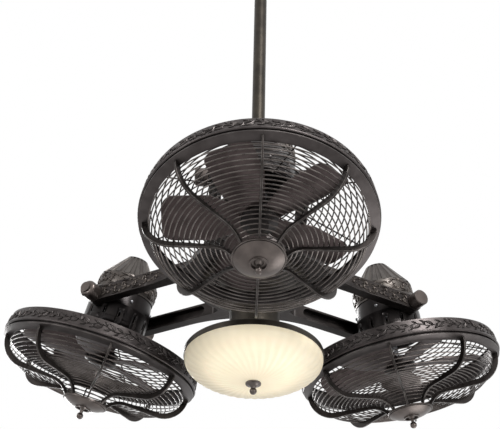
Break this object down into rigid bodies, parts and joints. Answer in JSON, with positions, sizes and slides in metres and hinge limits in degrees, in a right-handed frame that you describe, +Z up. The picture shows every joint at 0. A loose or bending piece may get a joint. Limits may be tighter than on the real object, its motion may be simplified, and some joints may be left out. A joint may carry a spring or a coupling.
{
  "type": "multi-head ceiling fan",
  "caption": "Ceiling fan with caged, tilting heads on forked arms round a central hub, a light bowl below and a downrod above.",
  "frame": {"origin": "centre of the downrod's upper end", "axes": "+Z up along the downrod, -Y towards the front head, +X to the right as seen from the front"},
  "size_m": [0.9649, 0.889, 0.9573],
  "materials": {
    "bronze_casting": "satin",
    "bronze_steel": "satin",
    "bronze_blade": "satin",
    "plain_steel": "satin",
    "cream_glass": "satin",
    "lamp_socket": "satin",
    "lamp_glass": "gloss"
  },
  "bodies": {
    "frame": {"downrod": "bronze_steel", "coupling_pin": "plain_steel", "hub_body": "bronze_casting", "neck": "bronze_steel", "light_pan": "bronze_steel", "glass_bowl": "cream_glass", "bowl_stem": "plain_steel", "bowl_finial": "bronze_casting", "lamp_holders": "lamp_socket", "lamps": "lamp_glass", "arm_a_front": "bronze_casting", "arm_b_front": "bronze_casting", "pivot_cap_front": "bronze_steel", "arm_a_left": "bronze_casting", "arm_b_left": "bronze_casting", "pivot_cap_left": "bronze_steel", "arm_a_right": "bronze_casting", "arm_b_right": "bronze_casting", "pivot_cap_right": "bronze_steel"},
    "head_front": {"motor_housing_front": "bronze_casting", "motor_cover_front": "bronze_casting", "stator_front": "plain_steel", "bearings_front": "plain_steel", "rim_band_front": "bronze_steel", "front_guard_front": "bronze_steel", "guard_cap_front": "bronze_casting", "cap_finial_front": "bronze_casting", "rear_guard_front": "bronze_steel"},
    "fan_front": {"rotor_front": "plain_steel", "blades_front": "bronze_blade", "blade_hub_front": "bronze_blade"},
    "knob_front": {"clamp_knob_front": "bronze_steel"},
    "head_left": {"motor_housing_left": "bronze_casting", "motor_cover_left": "bronze_casting", "stator_left": "plain_steel", "bearings_left": "plain_steel", "rim_band_left": "bronze_steel", "front_guard_left": "bronze_steel", "guard_cap_left": "bronze_casting", "cap_finial_left": "bronze_casting", "rear_guard_left": "bronze_steel"},
    "fan_left": {"rotor_left": "plain_steel", "blades_left": "bronze_blade", "blade_hub_left": "bronze_blade"},
    "knob_left": {"clamp_knob_left": "bronze_steel"},
    "head_right": {"motor_housing_right": "bronze_casting", "motor_cover_right": "bronze_casting", "stator_right": "plain_steel", "bearings_right": "plain_steel", "rim_band_right": "bronze_steel", "front_guard_right": "bronze_steel", "guard_cap_right": "bronze_casting", "cap_finial_right": "bronze_casting", "rear_guard_right": "bronze_steel"},
    "fan_right": {"rotor_right": "plain_steel", "blades_right": "bronze_blade", "blade_hub_right": "bronze_blade"},
    "knob_right": {"clamp_knob_right": "bronze_steel"}
  },
  "joints": [
    {"name": "tilt_front", "type": "hinge", "parent": "frame", "child": "head_front", "pos_m": [0, -0.3089, -0.7115], "axis": [1, 0, 0], "range_deg": [-56.4, 12.6]},
    {"name": "spin_front", "type": "hinge", "parent": "head_front", "child": "fan_front", "pos_m": [0, -0.3089, -0.7115], "axis": [0, -0.2351, -0.972], "continuous": true},
    {"name": "clamp_front", "type": "hinge", "parent": "frame", "child": "knob_front", "pos_m": [0, -0.3089, -0.7115], "axis": [-1, 0, 0], "range_deg": [0, 180]},
    {"name": "tilt_left", "type": "hinge", "parent": "frame", "child": "head_left", "pos_m": [-0.26752, 0.15445, -0.7115], "axis": [-0.5, -0.866, 0], "range_deg": [-51.6, 17.4]},
    {"name": "spin_left", "type": "hinge", "parent": "head_left", "child": "fan_left", "pos_m": [-0.26752, 0.15445, -0.7115], "axis": [-0.2734, 0.1578, -0.9489], "continuous": true},
    {"name": "clamp_left", "type": "hinge", "parent": "frame", "child": "knob_left", "pos_m": [-0.26752, 0.15445, -0.7115], "axis": [0.5, 0.866, 0], "range_deg": [0, 180]},
    {"name": "tilt_right", "type": "hinge", "parent": "frame", "child": "head_right", "pos_m": [0.26752, 0.15445, -0.7115], "axis": [-0.5, 0.866, 0], "range_deg": [-57.5, 11.5]},
    {"name": "spin_right", "type": "hinge", "parent": "head_right", "child": "fan_right", "pos_m": [0.26752, 0.15445, -0.7115], "axis": [0.1874, 0.1082, -0.9763], "continuous": true},
    {"name": "clamp_right", "type": "hinge", "parent": "frame", "child": "knob_right", "pos_m": [0.26752, 0.15445, -0.7115], "axis": [0.5, -0.866, 0], "range_deg": [0, 180]}
  ]
}
